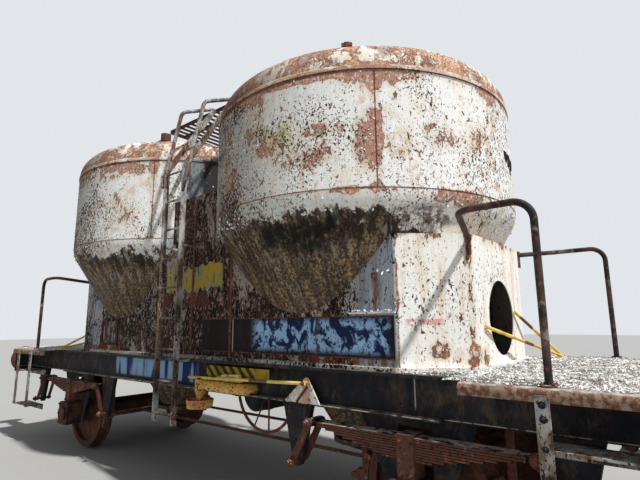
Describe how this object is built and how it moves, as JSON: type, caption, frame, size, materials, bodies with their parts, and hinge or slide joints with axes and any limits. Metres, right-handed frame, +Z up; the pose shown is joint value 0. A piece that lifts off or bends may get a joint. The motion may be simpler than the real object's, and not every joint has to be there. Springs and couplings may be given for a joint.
{
  "type": "two axle silo tank wagon",
  "caption": "Short railway wagon on two axles carrying two upright cone-bottomed tanks on a skirt, with ladders, walkway, handrails, springs, brakes and buffers.",
  "frame": {"origin": "midway between the axles on the centre line, at the lowest point of the wheel flanges", "axes": "+X along the wagon, +Y across it, +Z up"},
  "size_m": [9.54, 2.9116, 4.2898],
  "materials": {
    "tank_paint": "peeling off-white paint over rust",
    "skirt_paint": "peeling blue-grey paint over rust",
    "panel_paint": "dull dark brown paint",
    "frame_paint": "dull black paint over rust",
    "rusty_steel": "rusted steel",
    "pale_pipe": "chipped pale grey paint",
    "yellow_paint": "chipped yellow paint",
    "wheel_steel": "rusted forged steel",
    "box_iron": "greasy cast iron"
  },
  "bodies": {
    "wagon": {"tank_1": "tank_paint", "tank_2": "tank_paint", "skirt_sides": "skirt_paint", "skirt_ends": "skirt_paint", "skirt_cover": "skirt_paint", "skirt_plinth": "skirt_paint", "number_panels": "panel_paint", "placard_frames": "rusty_steel", "floor_plate": "frame_paint", "deck_plates": "rusty_steel", "sole_bars": "frame_paint", "headstocks": "frame_paint", "cross_bearers": "frame_paint", "draft_sills": "frame_paint", "ladder_stiles": "pale_pipe", "ladder_rungs": "pale_pipe", "ladder_hoops": "pale_pipe", "walkway": "rusty_steel", "walkway_legs": "rusty_steel", "top_valves": "rusty_steel", "handrails": "rusty_steel", "axle_boxes": "box_iron", "axle_guards": "frame_paint", "leaf_springs": "rusty_steel", "spring_buckles": "rusty_steel", "spring_links": "rusty_steel", "spring_hangers": "frame_paint", "brake_shoes": "rusty_steel", "brake_beams": "rusty_steel", "brake_hangers": "rusty_steel", "brake_rods": "rusty_steel", "brake_cylinder": "frame_paint", "air_reservoir": "frame_paint", "guard_hoops": "rusty_steel", "outlet_pipes": "yellow_paint", "outlet_valves": "yellow_paint", "lever_rods": "yellow_paint", "lever_brackets": "pale_pipe", "stripe_plates": "yellow_paint", "end_bars": "yellow_paint", "steps": "rusty_steel", "buffer_housings": "frame_paint", "buffer_heads": "wheel_steel", "draw_hooks": "rusty_steel", "couplings": "rusty_steel"},
    "wheelset_1": {"axle_1": "wheel_steel", "wheels_1": "wheel_steel"},
    "wheelset_2": {"axle_2": "wheel_steel", "wheels_2": "wheel_steel"},
    "lid_body_1": {"lid_1": "tank_paint"},
    "lid_body_2": {"lid_2": "tank_paint"}
  },
  "joints": [
    {"name": "wheelset_1_roll", "type": "hinge", "parent": "wagon", "child": "wheelset_1", "pos_m": [2.52, 0, 0.49], "axis": [0, 1, 0], "continuous": true},
    {"name": "wheelset_2_roll", "type": "hinge", "parent": "wagon", "child": "wheelset_2", "pos_m": [-2.52, 0, 0.49], "axis": [0, 1, 0], "continuous": true},
    {"name": "lid_1_hinge", "type": "hinge", "parent": "wagon", "child": "lid_body_1", "pos_m": [1.83, 0, 4.0873], "axis": [0, 1, 0], "range_deg": [0, 100]},
    {"name": "lid_2_hinge", "type": "hinge", "parent": "wagon", "child": "lid_body_2", "pos_m": [-1.83, 0, 4.0873], "axis": [0, -1, 0], "range_deg": [0, 100]}
  ]
}
